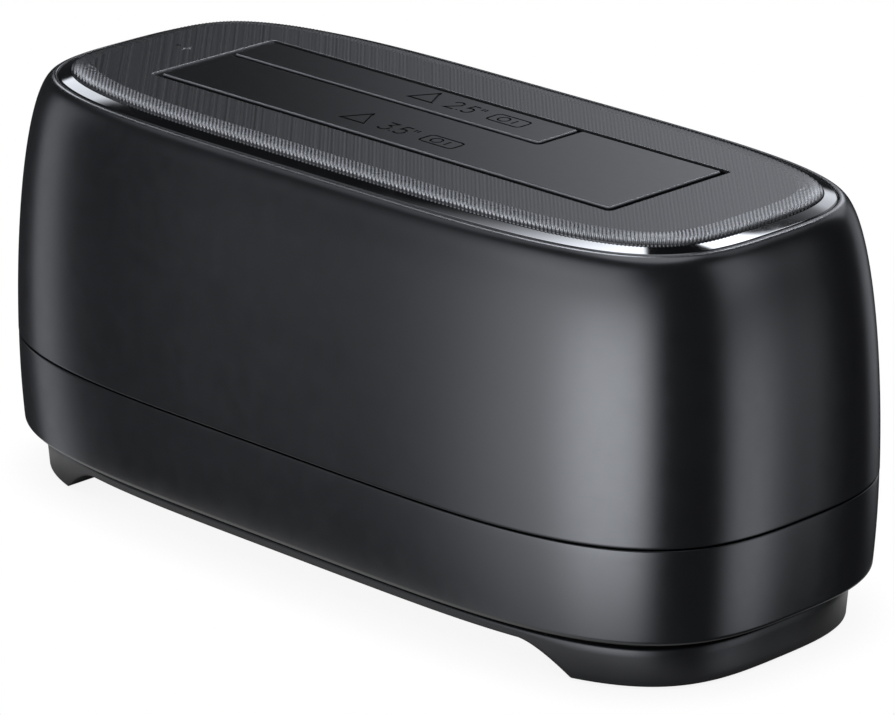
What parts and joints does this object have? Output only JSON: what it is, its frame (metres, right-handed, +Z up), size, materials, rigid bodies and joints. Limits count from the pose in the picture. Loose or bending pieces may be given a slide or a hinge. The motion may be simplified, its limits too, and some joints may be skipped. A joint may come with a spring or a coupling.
{
  "type": "hard drive docking station",
  "caption": "Upright desktop dock with sprung L-shaped and rectangular slot doors that let a bare drive stand on its data socket.",
  "frame": {"origin": "on the table, under the middle of the body", "axes": "+X along the body to the right, seen from the front; +Y to the back, where the ports are; +Z up"},
  "size_m": [0.164, 0.0764, 0.0722],
  "materials": {
    "shell": "satin moulded dark grey",
    "plinth": "satin moulded dark grey",
    "ring": "polished black",
    "panel": "finely ribbed grey",
    "door": "fine matt grey",
    "bay": "matt black",
    "rubber": "matt black",
    "steel": "plain",
    "board": "solder mask",
    "socket": "matt black",
    "contact": "gold flash",
    "chip": "moulded pack",
    "can": "drawn can",
    "inductor": "pressed ferrite",
    "rocker": "semi-gloss black",
    "lamp": "clear moulded",
    "clear": "clear acrylic"
  },
  "bodies": {
    "body": {"foot_plinth": "plinth", "rubber_pads": "rubber", "lower_shell": "shell", "upper_shell": "shell", "trim_ring": "ring", "top_panel": "panel", "drive_bay": "bay", "hinge_pin": "steel", "main_board": "board", "data_socket": "socket", "socket_contacts": "contact", "bridge_chip": "chip", "board_capacitors": "can", "power_inductor": "inductor", "usb_shell": "steel", "usb_tongue": "socket", "dc_jack": "socket", "dc_jack_pin": "steel", "switch_body": "socket", "status_led": "lamp", "light_pipe": "clear", "base_screws": "steel", "board_screws": "steel", "panel_screws": "steel"},
    "door_35": {"drive_door_35": "door", "door_35_spring": "steel"},
    "door_25": {"drive_door_25": "door", "door_25_spring": "steel"},
    "rocker": {"switch_rocker": "rocker"}
  },
  "joints": [
    {"name": "door_35_hinge", "type": "hinge", "parent": "body", "child": "door_35", "pos_m": [0, 0.0177, 0.068], "axis": [1, 0, 0], "range_deg": [0, 90], "stiffness_Nm_per_rad": 0.005, "springref_deg": -45.84},
    {"name": "door_25_hinge", "type": "hinge", "parent": "body", "child": "door_25", "pos_m": [0, 0.0177, 0.068], "axis": [1, 0, 0], "range_deg": [0, 90], "stiffness_Nm_per_rad": 0.003, "springref_deg": -34.38},
    {"name": "rocker_tilt", "type": "hinge", "parent": "body", "child": "rocker", "pos_m": [0.038, 0.03229, 0.0185], "axis": [0, 0, 1], "range_deg": [0, 16]}
  ]
}
